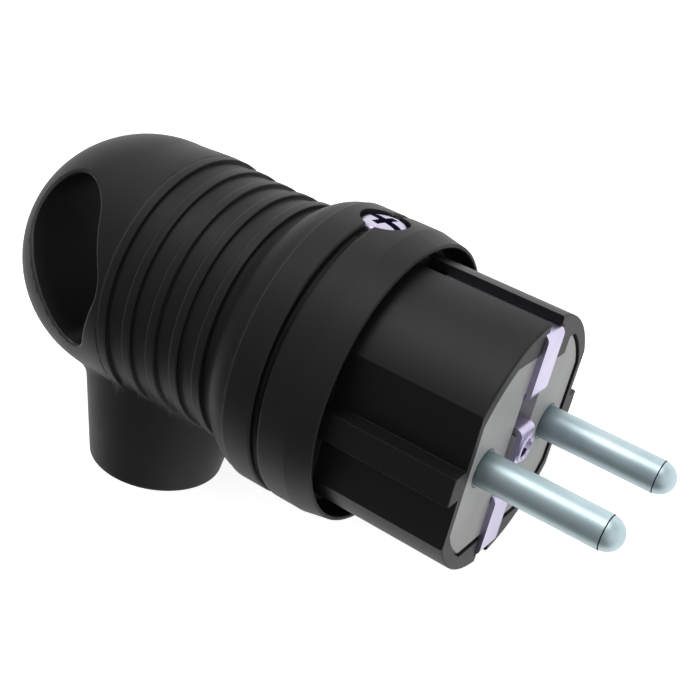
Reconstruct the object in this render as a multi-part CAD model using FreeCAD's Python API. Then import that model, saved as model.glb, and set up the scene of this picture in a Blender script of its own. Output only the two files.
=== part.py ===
import FreeCAD, Part
import math
import os

# Angled earthed plug with a finger ring, two round pins and side earth contacts.
# It is drawn with the pins forward along +X and the cable outlet down along -Z,
# measured from the centre of the engagement face, and is then rolled about the
# pin axis until it lies on its collar and on the rim of its cable outlet.
# All sizes are in millimetres.

V = FreeCAD.Vector
AXIS_X = V(1, 0, 0)
AXIS_Y = V(0, 1, 0)
AXIS_Z = V(0, 0, 1)
CENTRE = V(0, 0, 0)
SIDES = (-1, 1)

# Contact pins
PIN_R = 2.4
PIN_ROOT_R = 2.6
PIN_SPACING = 19.0
PIN_REACH = 19.0
PIN_TIP_R = 2.3
PIN_COLLAR_R = 4.0
PIN_COLLAR_LENGTH = 1.6
PILLAR_R = 3.3
PILLAR_LENGTH = 12.0
WIRE_BORE_R = 1.5
WIRE_BORE_DEPTH = 9.0

# Fits
SLIP = 0.1
MOULD_GAP = 0.15
THREAD_GAP = 0.03

# Plug body
BODY_R = 18.4
BODY_LENGTH = 24.3
FLAT_CUT = 2.75
RIB_HALF = 2.0
RIB_CUT = 0.1
CHANNEL_LENGTH = 20.0
BODY_EDGE = 0.3
NECK_STEP = 0.8
NECK_LENGTH = 9.7
NECK_WALL = 3.1
BULKHEAD = 2.5

# Insert in the face
RIM_WALL = 1.9
FLAT_WALL = 1.15
CHANNEL_WALL = 1.9
INSERT_DEPTH = 12.5
INSERT_EDGE = 0.25
KEY_LEFT = 2.0
KEY_RIGHT = 6.9
KEY_HEIGHT = 2.4

# Earth strip
STRIP_WIDTH = 5.0
STRIP_THICKNESS = 0.8
STRIP_PROUD = 0.5
STRIP_SUNK = 1.55
STRIP_LEG = 17.0
STRIP_FOLD_Z = 7.3
STRIP_DIP = 2.2
STRIP_SADDLE_Z = 3.05
STRIP_SADDLE_PROUD = 0.95
STRIP_SADDLE_WIDTH = 4.0
STRIP_BEND = 1.1
SEAT_MARGIN = 0.3
CHANNEL_WIDTH = 3.9

# Sealing collar
SKIRT_CLEARANCE = 1.3
SKIRT_SPREAD = 0.4
LIP_WALL = 0.55
COLLAR_SWELL = 0.7
COLLAR_FRONT_X = -18.3
COLLAR_TAPER_X = -22.0
SKIRT_FLOOR_X = -22.9
PARTING_X = -27.2
PARTING_HALF = 0.5
PARTING_DEPTH = 1.0
COLLAR_REAR_ROUND = 0.6
LIP_ROUND = 0.2

# Grip cover
WAIST_WALL = 0.85
WAIST_X = -43.0
HEAD_SWELL = 0.4
HEAD_X = -64.1
FIRST_RING_SWELL = 0.7
FIRST_RING_X = -55.1
FIRST_RING_BLEND = 6.5
RING_COUNT = 5
RING_PITCH = 4.15
RING_WIDTH = 1.5
RING_HEIGHT = 0.6
RING_ROOT = 1.0
RING_REAR_ROUND = 0.2
RING_FRONT_ROUND = 0.14
FLARE_TURN_X = -36.1
FLARE_TURN_DROP = 2.0
FLARE_END_X = -32.1
FLARE_END_DROP = 0.15
FLARE_DISH = 0.3
FLARE_CROWN = 0.35
RIM_ROUND = 0.35
GRIP_CAVITY_STEP = 0.5
GRIP_CAVITY_END = -55.0
GRIP_CAVITY_ROUND = 3.0
BEAD_X = -31.4
BEAD_WIDTH = 1.5
BEAD_HEIGHT = 0.7

# Finger ring
FINGER_REAR_X = -67.65
FINGER_REAR_Z = 7.2
FINGER_REAR_R = 6.6
FINGER_LOW_X = -62.7
FINGER_LOW_Z = -6.6
FINGER_LOW_R = 2.4
FINGER_FORE_X = -64.0
FINGER_FORE_Z = 1.8
FINGER_FORE_R = 6.2
FINGER_ROUND = 0.4

# Cable outlet
OUTLET_X = -56.6
OUTLET_Z = -31.7
OUTLET_END_R = 10.5
OUTLET_TAPER = 0.162
OUTLET_ROOT_Z = -8.0
OUTLET_ROUND = 0.8
OUTLET_BLEND = 3.0
OUTLET_BORE_R = 4.8
OUTLET_LEAD_IN = 0.6
ELBOW_Z = -17.0
ELBOW_END_X = -49.0
ELBOW_END_Z = -7.0

# Cover screw and its square nut
COVER_SCREW_X = -26.8
COVER_SCREW_R = 2.0
COVER_HEAD_R = 3.2
COVER_HEAD_HEIGHT = 1.4
COVER_RECESS_R = 3.5
COVER_SEAT_HEIGHT = 1.3
COVER_SCREW_LENGTH = 7.0
CROSS_WIDTH = 0.9
CROSS_LENGTH = 4.2
CROSS_DEPTH = 1.0
NUT_SIDE = 7.0
NUT_HEIGHT = 3.0
NUT_ROOF = 2.0
NUT_WALL = 1.2

# Small screws
SCREW_R = 1.5
CHEESE_HEAD_R = 2.75
CHEESE_HEAD_HEIGHT = 1.8
SLOT_WIDTH = 0.8
SLOT_DEPTH = 0.9
SET_SCREW_LENGTH = 3.6
SET_SCREW_STAND = 1.0

# Terminals behind the bulkhead
TERMINAL_SETBACK = 4.0
CARRIER_BASE = 2.0
CARRIER_GAP = 0.2
PARTITION_Y = 4.6
PARTITION_WALL = 1.2
PARTITION_LENGTH = 13.0
PARTITION_HALF_HEIGHT = 6.6
SPINE_HALF_WIDTH = 3.4
SPINE_TOP_Z = -11.5
CARRIER_SCREW_Y = -6.6
CARRIER_SCREW_Z = 9.4
CARRIER_SCREW_LENGTH = 11.0
EARTH_BLOCK_HALF = 3.2
EARTH_BLOCK_TOP = 9.5
EARTH_BLOCK_LOW = 2.5
EARTH_BLOCK_LENGTH = 9.0
EARTH_FOOT = 1.6
EARTH_FOOT_LOW = -3.4
EARTH_WIRE_Z = 6.0
RIVET_R = 1.6
RIVET_BORE_R = 1.2
RIVET_HEAD_R = 1.95
RIVET_HEAD = 0.4

# Cord clamp
CLAMP_X = -39.5
CLAMP_LENGTH = 7.0
CLAMP_HALF_WIDTH = 10.5
CLAMP_POST_TOP = -0.5
CLAMP_BAR = 3.0
CLAMP_BITE = 0.9
CLAMP_GAP = 1.2
CLAMP_SCREW_Y = 7.8
CLAMP_SCREW_LENGTH = 9.0
CORD_R = 4.7
CORD_Z = -4.8

# Radii and heights that follow from the sizes above
FLAT_Y = BODY_R - FLAT_CUT
RIB_R = BODY_R - RIB_CUT
NECK_R = BODY_R - NECK_STEP
NECK_BORE_R = NECK_R - NECK_WALL
CARRIER_R = NECK_BORE_R - CARRIER_GAP
STRIP_TOP = BODY_R - STRIP_SUNK
STRIP_UNDER = STRIP_TOP - STRIP_THICKNESS - MOULD_GAP
INSERT_R = BODY_R - RIM_WALL
INSERT_HALF_WIDTH = FLAT_Y - FLAT_WALL
INSERT_HALF_HEIGHT = STRIP_UNDER - CHANNEL_WALL
KEY_LOW = INSERT_HALF_HEIGHT - KEY_HEIGHT
SKIRT_FLOOR_R = BODY_R + SKIRT_CLEARANCE
SKIRT_MOUTH_R = SKIRT_FLOOR_R + SKIRT_SPREAD
COLLAR_LIP_R = SKIRT_MOUTH_R + LIP_WALL
COLLAR_R = COLLAR_LIP_R + COLLAR_SWELL
FLARE_END_R = COLLAR_R - FLARE_END_DROP
FLARE_TURN_R = COLLAR_R - FLARE_TURN_DROP
WAIST_R = NECK_R + WAIST_WALL
HEAD_R = WAIST_R + HEAD_SWELL
FIRST_RING_R = WAIST_R + FIRST_RING_SWELL
GRIP_CAVITY_R = NECK_BORE_R + GRIP_CAVITY_STEP
COVER_SEAT_Z = NECK_R + COVER_SEAT_HEIGHT
NUT_TOP_Z = NECK_R - NUT_ROOF

# Planes along the pin axis that follow from the sizes above
FACE_X = STRIP_PROUD - STRIP_THICKNESS
CARRIER_X = -INSERT_DEPTH - BULKHEAD
CARRIER_BACK_X = CARRIER_X - CARRIER_BASE
NECK_END_X = -BODY_LENGTH - NECK_LENGTH
LAST_RING_X = FIRST_RING_X + RING_PITCH * (RING_COUNT - 1)
HOLE_DEPTH_MARGIN = 1.0


def box(x0, x1, y0, y1, z0, z1):
    return Part.makeBox(x1 - x0, y1 - y0, z1 - z0, V(x0, y0, z0))


def rod_x(radius, x0, x1, y=0.0, z=0.0):
    return Part.makeCylinder(radius, x1 - x0, V(x0, y, z), AXIS_X)


def rod_z(radius, z0, z1, x=0.0, y=0.0):
    return Part.makeCylinder(radius, z1 - z0, V(x, y, z0), AXIS_Z)


def line(a, b):
    return Part.LineSegment(V(a[0], 0, a[1]), V(b[0], 0, b[1])).toShape()


def arc(a, b, c):
    return Part.Arc(*[V(p[0], 0, p[1]) for p in (a, b, c)]).toShape()


def path(*points):
    return [line(a, b) for a, b in zip(points[:-1], points[1:])]


def turned(edges):
    """Solid of revolution about the pin axis from a closed outline in (x, radius)."""
    face = Part.Face(Part.Wire(edges))
    return face.revolve(CENTRE, AXIS_X, 360)


def circle_edges(shape, x, radius):
    """Round edges of a shape about the pin axis, at one station and radius."""
    found = []
    for edge in shape.Edges:
        size = edge.BoundBox
        flat = size.XLength < SLIP and abs(size.XMin - x) < SLIP
        if flat and abs(size.ZLength - 2 * radius) < SLIP:
            found.append(edge)
    return found


# Screws

def slotted(body, x, y, top, radius):
    half = SLOT_WIDTH / 2
    return body.cut(box(x - radius, x + radius, y - half, y + half, top - SLOT_DEPTH, top))


def cheese_head_screw(x, y, seat, length):
    """Slotted screw along Z with the underside of its head at the seat."""
    top = seat + CHEESE_HEAD_HEIGHT
    head = rod_z(CHEESE_HEAD_R, seat, top, x, y)
    body = rod_z(SCREW_R, seat - length, seat, x, y).fuse(head)
    return slotted(body, x, y, top, CHEESE_HEAD_R).removeSplitter()


def set_screw(x, y, top):
    """Headless slotted screw along Z that presses on a bared wire."""
    return slotted(rod_z(SCREW_R, top - SET_SCREW_LENGTH, top, x, y), x, y, top, SCREW_R)


def cover_screw():
    top = COVER_SEAT_Z + COVER_HEAD_HEIGHT
    head = rod_z(COVER_HEAD_R, COVER_SEAT_Z, top, COVER_SCREW_X)
    rim = [e for e in head.Edges if e.BoundBox.ZMin > COVER_SEAT_Z + SLIP]
    head = head.makeFillet(COVER_HEAD_HEIGHT * 0.4, rim)
    shank = rod_z(COVER_SCREW_R, COVER_SEAT_Z - COVER_SCREW_LENGTH, COVER_SEAT_Z, COVER_SCREW_X)
    screw = head.fuse(shank)
    for long_side, short_side in ((CROSS_LENGTH, CROSS_WIDTH), (CROSS_WIDTH, CROSS_LENGTH)):
        screw = screw.cut(box(COVER_SCREW_X - long_side / 2, COVER_SCREW_X + long_side / 2,
                              -short_side / 2, short_side / 2, top - CROSS_DEPTH, top))
    return screw.removeSplitter()


def cover_nut():
    half = NUT_SIDE / 2
    nut = box(COVER_SCREW_X - half, COVER_SCREW_X + half, -half, half, NUT_TOP_Z - NUT_HEIGHT, NUT_TOP_Z)
    bore = COVER_SCREW_R + THREAD_GAP
    return nut.cut(rod_z(bore, NUT_TOP_Z - NUT_HEIGHT, NUT_TOP_Z, COVER_SCREW_X))


# Plug body and the insert in its face

def insert_block(x0, x1, gap):
    """Round block cut flat on four sides, smaller by a gap all round."""
    block = rod_x(INSERT_R - gap, x0, x1)
    half_width = INSERT_HALF_WIDTH - gap
    half_height = INSERT_HALF_HEIGHT - gap
    return block.common(box(x0, x1, -half_width, half_width, -half_height, half_height))


def key_block(x1, gap):
    return box(-INSERT_DEPTH, x1, KEY_LEFT - gap, KEY_RIGHT + gap, KEY_LOW - gap, INSERT_HALF_HEIGHT)


def contact_channel(up):
    """T-shaped channel for a side contact, open along the body and over the rim."""
    strip_high = STRIP_TOP + MOULD_GAP
    half_mouth = CHANNEL_WIDTH / 2
    half_slot = STRIP_WIDTH / 2 + MOULD_GAP
    half_seat = STRIP_WIDTH / 2 + SEAT_MARGIN
    mouth = box(-CHANNEL_LENGTH, 0, -half_mouth, half_mouth, strip_high, BODY_R)
    slot = box(-CHANNEL_LENGTH, 0, -half_slot, half_slot, STRIP_UNDER, strip_high)
    seat = box(FACE_X, 0, -half_seat, half_seat, KEY_LOW, strip_high)
    bend = box(FACE_X - SEAT_MARGIN, 0, -half_seat, half_seat, STRIP_UNDER - SEAT_MARGIN, strip_high)
    channel = mouth.fuse([slot, seat, bend])
    channel.rotate(CENTRE, AXIS_X, 0 if up > 0 else 180)
    return channel


def side_flats():
    """Flats at both sides of the body, each with a guide rib left in its middle."""
    flats = []
    for side in SIDES:
        for up in SIDES:
            y_low, y_high = sorted((side * FLAT_Y, side * BODY_R))
            z_low, z_high = sorted((up * RIB_HALF, up * BODY_R))
            flats.append(box(-CHANNEL_LENGTH, 0, y_low, y_high, z_low, z_high))
        y_low, y_high = sorted((side * RIB_R, side * BODY_R))
        flats.append(box(-CHANNEL_LENGTH, 0, y_low, y_high, -RIB_HALF, RIB_HALF))
    return flats


def snap_ring(gap):
    """Ring with which the grip cover snaps into the neck, or the groove for it."""
    half = BEAD_WIDTH / 2 + gap
    ring = rod_x(NECK_R + SLIP + gap, BEAD_X - half, BEAD_X + half)
    return ring.cut(rod_x(NECK_R - BEAD_HEIGHT - gap, BEAD_X - half, BEAD_X + half))


def nut_channel_block():
    half = NUT_SIDE / 2 + SLIP + NUT_WALL
    low = NUT_TOP_Z - NUT_HEIGHT - SLIP - NUT_WALL
    block = box(NECK_END_X, COVER_SCREW_X + half, -half, half, low, NECK_R)
    return block.common(rod_x(NECK_BORE_R + SLIP, NECK_END_X, 0))


def nut_channel():
    """Slot from the rear end of the neck in which the square nut slides home."""
    half = NUT_SIDE / 2 + SLIP
    return box(NECK_END_X, COVER_SCREW_X + half, -half, half, NUT_TOP_Z - NUT_HEIGHT - SLIP, NUT_TOP_Z + SLIP)


def front_shell():
    shell = rod_x(BODY_R, -BODY_LENGTH, 0)
    shell = shell.makeFillet(BODY_EDGE, circle_edges(shell, 0, BODY_R))
    shell = shell.cut(side_flats())
    shell = shell.fuse(rod_x(NECK_R, NECK_END_X, -BODY_LENGTH))
    shell = shell.cut(snap_ring(SLIP))
    pocket = insert_block(-INSERT_DEPTH, 0, 0).cut(key_block(0, 0))
    shell = shell.cut([pocket, rod_x(NECK_BORE_R, NECK_END_X, CARRIER_X)])
    shell = shell.fuse(nut_channel_block())
    shell = shell.cut([nut_channel(), rod_z(COVER_SCREW_R + SLIP, 0, NECK_R, COVER_SCREW_X)])
    shell = shell.cut([contact_channel(up) for up in SIDES])
    for side in SIDES:
        shell = shell.cut(rod_x(PILLAR_R + SLIP, CARRIER_X, -INSERT_DEPTH, side * PIN_SPACING / 2))
        shell = shell.cut(rod_x(SCREW_R + SLIP, CARRIER_X, -INSERT_DEPTH,
                                side * CARRIER_SCREW_Y, side * CARRIER_SCREW_Z))
    shell = shell.cut(rod_x(RIVET_R + SLIP, CARRIER_X, -INSERT_DEPTH))
    return shell.removeSplitter()


def face_insert():
    insert = insert_block(-INSERT_DEPTH, FACE_X, MOULD_GAP)
    front = [e for e in insert.Edges if e.BoundBox.XMin > FACE_X - SLIP]
    insert = insert.makeChamfer(INSERT_EDGE, front)
    insert = insert.cut(key_block(FACE_X, MOULD_GAP))
    half = STRIP_WIDTH / 2 + SEAT_MARGIN
    floor = -STRIP_DIP - STRIP_THICKNESS
    fold = STRIP_FOLD_Z + STRIP_THICKNESS + SEAT_MARGIN
    insert = insert.cut(box(floor, FACE_X, -half, half, -fold, fold))
    half = STRIP_SADDLE_WIDTH / 2
    inner = STRIP_SADDLE_Z - STRIP_THICKNESS - SEAT_MARGIN
    saddle = STRIP_SADDLE_PROUD - STRIP_THICKNESS
    insert = insert.fuse(box(floor, saddle, -half, half, -inner, inner))
    collar_end = -INSERT_DEPTH + PIN_COLLAR_LENGTH + SLIP
    screw_end = -INSERT_DEPTH + CARRIER_SCREW_LENGTH - BULKHEAD - CARRIER_BASE + HOLE_DEPTH_MARGIN
    for side in SIDES:
        y = side * PIN_SPACING / 2
        insert = insert.cut(rod_x(PIN_ROOT_R + SLIP, -INSERT_DEPTH, FACE_X, y))
        insert = insert.cut(rod_x(PIN_COLLAR_R + SLIP, -INSERT_DEPTH, collar_end, y))
        insert = insert.cut(rod_x(SCREW_R + THREAD_GAP, -INSERT_DEPTH, screw_end,
                                  side * CARRIER_SCREW_Y, side * CARRIER_SCREW_Z))
    insert = insert.cut(rod_x(RIVET_R + SLIP, -INSERT_DEPTH, saddle))
    return insert.removeSplitter()


# Contact pins and their terminals

def contact_pin(side):
    """Turned pin: rounded tip, shaft, thicker root in the insert, collar and wire pillar."""
    y = side * PIN_SPACING / 2
    shaft_end = PIN_REACH - PIN_TIP_R
    pillar_end = -INSERT_DEPTH - PILLAR_LENGTH
    pin = rod_x(PIN_R, FACE_X, shaft_end, y)
    pin = pin.fuse(rod_x(PIN_ROOT_R, -INSERT_DEPTH, FACE_X, y))
    pin = pin.fuse(Part.makeSphere(PIN_TIP_R, V(shaft_end, y, 0)))
    pin = pin.fuse(rod_x(PIN_COLLAR_R, -INSERT_DEPTH, -INSERT_DEPTH + PIN_COLLAR_LENGTH, y))
    pin = pin.fuse(rod_x(PILLAR_R, pillar_end, -INSERT_DEPTH, y))
    pin = pin.cut(rod_x(WIRE_BORE_R, pillar_end, pillar_end + WIRE_BORE_DEPTH, y))
    pin = pin.cut(rod_z(SCREW_R + THREAD_GAP, 0, PILLAR_R, pillar_end + TERMINAL_SETBACK, y))
    return pin.removeSplitter()


def pin_screw(side):
    x = -INSERT_DEPTH - PILLAR_LENGTH + TERMINAL_SETBACK
    return set_screw(x, side * PIN_SPACING / 2, PILLAR_R + SET_SCREW_STAND)


# Earth path: folded strip, rivet, terminal and screw

def strip_centre_line():
    """Middle of the sheet in (x, z): leg, face bar, dip and the raised saddle."""
    half = STRIP_THICKNESS / 2
    leg = STRIP_TOP - half
    bar = STRIP_PROUD - half
    dip = -STRIP_DIP - half
    saddle = STRIP_SADDLE_PROUD - half
    fold = STRIP_FOLD_Z + half
    rise = STRIP_SADDLE_Z - half
    upper = [(-STRIP_LEG, leg), (bar, leg), (bar, fold), (dip, fold), (dip, rise), (saddle, rise)]
    return upper + [(x, -z) for x, z in reversed(upper)]


def sheet_sides(points):
    """Both faces of the sheet: each centre point moved half a thickness either way."""
    half = STRIP_THICKNESS / 2
    left, right = [], []
    for before, point, after in zip(points[:1] + points[:-1], points, points[1:] + points[-1:]):
        nx = nz = 0.0
        for a, b in ((before, point), (point, after)):
            length = math.hypot(b[0] - a[0], b[1] - a[1])
            if length > 0:
                nx += (a[1] - b[1]) / length
                nz += (b[0] - a[0]) / length
        left.append((point[0] + nx * half, point[1] + nz * half))
        right.append((point[0] - nx * half, point[1] - nz * half))
    return left, right


def fold_edges(sheet, corners):
    """Edges across the sheet that stand at the given corners of its outline."""
    found = []
    for edge in sheet.Edges:
        middle = edge.BoundBox.Center
        across = edge.BoundBox.YLength > STRIP_WIDTH - SLIP
        if across and any(math.hypot(middle.x - x, middle.z - z) < SLIP for x, z in corners):
            found.append(edge)
    return found


def earth_clip():
    """One folded sheet: two side contacts, two bars on the face, the raised saddle."""
    points = strip_centre_line()
    left, right = sheet_sides(points)
    outline = [V(x, -STRIP_WIDTH / 2, z) for x, z in left + right[::-1]]
    sheet = Part.Face(Part.makePolygon(outline + outline[:1])).extrude(V(0, STRIP_WIDTH, 0))
    outer, inner = [], []
    for i in range(1, len(points) - 1):
        (ax, az), (bx, bz), (cx, cz) = points[i - 1:i + 2]
        turns_left = (bx - ax) * (cz - bz) - (bz - az) * (cx - bx) > 0
        outer.append(right[i] if turns_left else left[i])
        inner.append(left[i] if turns_left else right[i])
    sheet = sheet.makeFillet(STRIP_BEND, fold_edges(sheet, outer))
    sheet = sheet.makeFillet(STRIP_BEND - STRIP_THICKNESS, fold_edges(sheet, inner))
    reach = STRIP_SADDLE_Z + STRIP_BEND - STRIP_THICKNESS
    for side in SIDES:
        y_low, y_high = sorted((side * STRIP_SADDLE_WIDTH / 2, side * STRIP_WIDTH / 2))
        sheet = sheet.cut(box(-STRIP_DIP, STRIP_SADDLE_PROUD, y_low, y_high, -reach, reach))
    return sheet.cut(rod_x(RIVET_R + SLIP, 0, STRIP_SADDLE_PROUD))


def earth_rivet():
    """Hollow rivet through the strip, the insert, the bulkhead and the terminal."""
    head_x = STRIP_SADDLE_PROUD
    tail_x = CARRIER_X - EARTH_FOOT
    head_end = head_x + RIVET_HEAD
    rivet = rod_x(RIVET_R, tail_x, head_x)
    rivet = rivet.fuse(rod_x(RIVET_HEAD_R, head_x, head_end))
    rivet = rivet.fuse(rod_x(RIVET_HEAD_R, tail_x - RIVET_HEAD, tail_x))
    rivet = rivet.cut(rod_x(RIVET_BORE_R, tail_x - RIVET_HEAD, head_end))
    flare = V(head_end - 2 * RIVET_HEAD, 0, 0)
    rivet = rivet.cut(Part.makeCone(RIVET_BORE_R, RIVET_R, 2 * RIVET_HEAD, flare, AXIS_X))
    return rivet.makeFillet(RIVET_HEAD * 0.6, circle_edges(rivet, head_end, RIVET_HEAD_R))


def earth_terminal():
    """Brass block with a foot below the rivet, a wire hole and a screw hole."""
    half = EARTH_BLOCK_HALF
    back = CARRIER_X - EARTH_BLOCK_LENGTH
    foot_back = CARRIER_X - EARTH_FOOT
    body = box(foot_back, CARRIER_X, -half, half, EARTH_FOOT_LOW, EARTH_BLOCK_TOP)
    body = body.fuse(box(back, foot_back, -half, half, EARTH_BLOCK_LOW, EARTH_BLOCK_TOP))
    body = body.cut(rod_x(RIVET_R + SLIP, foot_back, CARRIER_X))
    body = body.cut(rod_x(WIRE_BORE_R, back, foot_back, 0, EARTH_WIRE_Z))
    body = body.cut(rod_z(SCREW_R + THREAD_GAP, EARTH_WIRE_Z, EARTH_BLOCK_TOP, back + TERMINAL_SETBACK))
    return body.removeSplitter()


def earth_screw():
    x = CARRIER_X - EARTH_BLOCK_LENGTH + TERMINAL_SETBACK
    return set_screw(x, 0, EARTH_BLOCK_TOP + SET_SCREW_STAND)


# Carrier behind the bulkhead and the cord clamp on it

def clamp_saddle():
    x0 = CLAMP_X - CLAMP_LENGTH / 2
    x1 = CLAMP_X + CLAMP_LENGTH / 2
    block = box(x0, x1, -CLAMP_HALF_WIDTH, CLAMP_HALF_WIDTH, -CARRIER_R, CLAMP_POST_TOP)
    block = block.common(rod_x(CARRIER_R, x0, x1))
    block = block.cut(rod_x(CORD_R, x0, x1, 0, CORD_Z))
    block = block.cut(box(x0, x1, -CORD_R, CORD_R, CORD_Z, CLAMP_POST_TOP))
    depth = CLAMP_SCREW_LENGTH - CLAMP_BAR - CLAMP_GAP + HOLE_DEPTH_MARGIN
    for side in SIDES:
        block = block.cut(rod_z(SCREW_R + THREAD_GAP, CLAMP_POST_TOP - depth, CLAMP_POST_TOP,
                                CLAMP_X, side * CLAMP_SCREW_Y))
    return block


def terminal_carrier():
    """Disc behind the bulkhead with two partitions, a spine and the clamp saddle."""
    carrier = rod_x(CARRIER_R, CARRIER_BACK_X, CARRIER_X)
    rear = CARRIER_BACK_X - PARTITION_LENGTH
    for side in SIDES:
        y_low = side * PARTITION_Y - PARTITION_WALL / 2
        wall = box(rear, CARRIER_BACK_X, y_low, y_low + PARTITION_WALL,
                   -PARTITION_HALF_HEIGHT, PARTITION_HALF_HEIGHT)
        carrier = carrier.fuse(wall)
    spine = box(CLAMP_X, CARRIER_BACK_X, -SPINE_HALF_WIDTH, SPINE_HALF_WIDTH, -CARRIER_R, SPINE_TOP_Z)
    carrier = carrier.fuse(spine.common(rod_x(CARRIER_R, CLAMP_X, CARRIER_BACK_X)))
    carrier = carrier.fuse(clamp_saddle())
    half = EARTH_BLOCK_HALF + SLIP
    carrier = carrier.cut(box(CARRIER_BACK_X, CARRIER_X, -half, half,
                              EARTH_FOOT_LOW - SLIP, EARTH_BLOCK_TOP + SLIP))
    for side in SIDES:
        carrier = carrier.cut(rod_x(PILLAR_R + SLIP, CARRIER_BACK_X, CARRIER_X, side * PIN_SPACING / 2))
        carrier = carrier.cut(rod_x(SCREW_R + SLIP, CARRIER_BACK_X, CARRIER_X,
                                    side * CARRIER_SCREW_Y, side * CARRIER_SCREW_Z))
    return carrier.removeSplitter()


def carrier_screw(up):
    """Screw along the pin axis that clamps carrier, bulkhead and insert together."""
    screw = cheese_head_screw(0, 0, 0, CARRIER_SCREW_LENGTH)
    screw.rotate(CENTRE, AXIS_Y, -90)
    screw.translate(V(CARRIER_BACK_X, up * CARRIER_SCREW_Y, up * CARRIER_SCREW_Z))
    return screw


def cord_clamp_bar():
    x0 = CLAMP_X - CLAMP_LENGTH / 2
    x1 = CLAMP_X + CLAMP_LENGTH / 2
    low = CLAMP_POST_TOP + CLAMP_GAP
    bar = box(x0, x1, -CLAMP_HALF_WIDTH, CLAMP_HALF_WIDTH, low, low + CLAMP_BAR)
    corners = [e for e in bar.Edges if e.BoundBox.ZLength > CLAMP_BAR - SLIP]
    bar = bar.makeFillet(CLAMP_BAR * 0.6, corners)
    bar = bar.cut(rod_x(CORD_R, x0, x1, 0, low - CORD_R + CLAMP_BITE))
    for side in SIDES:
        bar = bar.cut(rod_z(SCREW_R + SLIP, low, low + CLAMP_BAR, CLAMP_X, side * CLAMP_SCREW_Y))
    return bar


def cord_clamp_screw(side):
    seat = CLAMP_POST_TOP + CLAMP_GAP + CLAMP_BAR
    return cheese_head_screw(CLAMP_X, side * CLAMP_SCREW_Y, seat, CLAMP_SCREW_LENGTH)


# Sealing collar and grip cover

def cover_screw_recess():
    """Pocket for the head of the cover screw, half in each ring, and its passage."""
    recess = rod_z(COVER_RECESS_R, COVER_SEAT_Z, COLLAR_R, COVER_SCREW_X)
    return recess.fuse(rod_z(COVER_SCREW_R + SLIP, NECK_R / 2, COVER_SEAT_Z, COVER_SCREW_X))


def sealing_collar():
    """Ring on the neck with a thin skirt that stands clear of the plug body."""
    bore = NECK_R + SLIP
    root = COLLAR_R - PARTING_DEPTH
    rear = PARTING_X + PARTING_HALF
    ring = turned(path(
        (PARTING_X, bore), (PARTING_X, root), (rear, root), (rear, COLLAR_R),
        (COLLAR_TAPER_X, COLLAR_R), (COLLAR_FRONT_X, COLLAR_LIP_R), (COLLAR_FRONT_X, SKIRT_MOUTH_R),
        (SKIRT_FLOOR_X, SKIRT_FLOOR_R), (SKIRT_FLOOR_X, BODY_R + SLIP), (-BODY_LENGTH, BODY_R + SLIP),
        (-BODY_LENGTH, bore), (PARTING_X, bore)))
    ring = ring.makeFillet(COLLAR_REAR_ROUND, circle_edges(ring, rear, COLLAR_R))
    lip = circle_edges(ring, COLLAR_FRONT_X, COLLAR_LIP_R) + circle_edges(ring, COLLAR_FRONT_X, SKIRT_MOUTH_R)
    ring = ring.makeFillet(LIP_ROUND, lip)
    return ring.cut(cover_screw_recess())


def grip_radius(x):
    """Radius over the rings: a shallow parabola that is slimmest at the waist."""
    share = (x - WAIST_X) / (FIRST_RING_X - WAIST_X)
    return WAIST_R + (FIRST_RING_R - WAIST_R) * share ** 2


def smooth_curve(points):
    curve = Part.BSplineCurve()
    curve.interpolate([V(x, 0, r) for x, r in points], InitialTangent=AXIS_X, FinalTangent=AXIS_X)
    return curve.toShape()


def grip_base():
    """Head, waist, flare and front ring in one turned form, without the finger rings."""
    tip = HEAD_X - HEAD_R
    cap = math.radians(45)
    dome = arc((tip, 0), (HEAD_X - HEAD_R * math.cos(cap), HEAD_R * math.sin(cap)), (HEAD_X, HEAD_R))
    waist = [(HEAD_X, HEAD_R), (FIRST_RING_X, grip_radius(FIRST_RING_X) - RING_HEIGHT),
             (WAIST_X, WAIST_R - RING_HEIGHT), (LAST_RING_X, grip_radius(LAST_RING_X) - RING_HEIGHT)]
    turn = (FLARE_TURN_X, FLARE_TURN_R)
    end = (FLARE_END_X, FLARE_END_R)
    dish = ((LAST_RING_X + turn[0]) / 2 + FLARE_DISH, (waist[-1][1] + turn[1]) / 2 - FLARE_DISH)
    crown = ((turn[0] + end[0]) / 2 - FLARE_CROWN / 2, (turn[1] + end[1]) / 2 + FLARE_CROWN)
    root = COLLAR_R - PARTING_DEPTH
    front = PARTING_X - PARTING_HALF
    edges = [dome, smooth_curve(waist), arc(waist[-1], dish, turn), arc(turn, crown, end)]
    edges += path(end, (FLARE_END_X, COLLAR_R), (front, COLLAR_R), (front, root),
                  (PARTING_X, root), (PARTING_X, 0), (tip, 0))
    base = turned(edges)
    return base.makeFillet(RIM_ROUND, circle_edges(base, front, COLLAR_R))


def finger_ring(index):
    """Raised ring with a step at both edges; the first one swells up from the head."""
    front = FIRST_RING_X + index * RING_PITCH
    rear = front - RING_WIDTH
    top = grip_radius(front)
    root = top - RING_HEIGHT - RING_ROOT
    if index == 0:
        start = (front - FIRST_RING_BLEND, HEAD_R - SLIP)
        swell = smooth_curve([start, (rear, top)])
        ring = turned([swell] + path((rear, top), (front, top), (front, root), (start[0], root), start))
    else:
        ring = turned(path((rear, root), (rear, top), (front, top), (front, root), (rear, root)))
        ring = ring.makeFillet(RING_REAR_ROUND, circle_edges(ring, rear, top))
    return ring.makeFillet(RING_FRONT_ROUND, circle_edges(ring, front, top))


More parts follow.
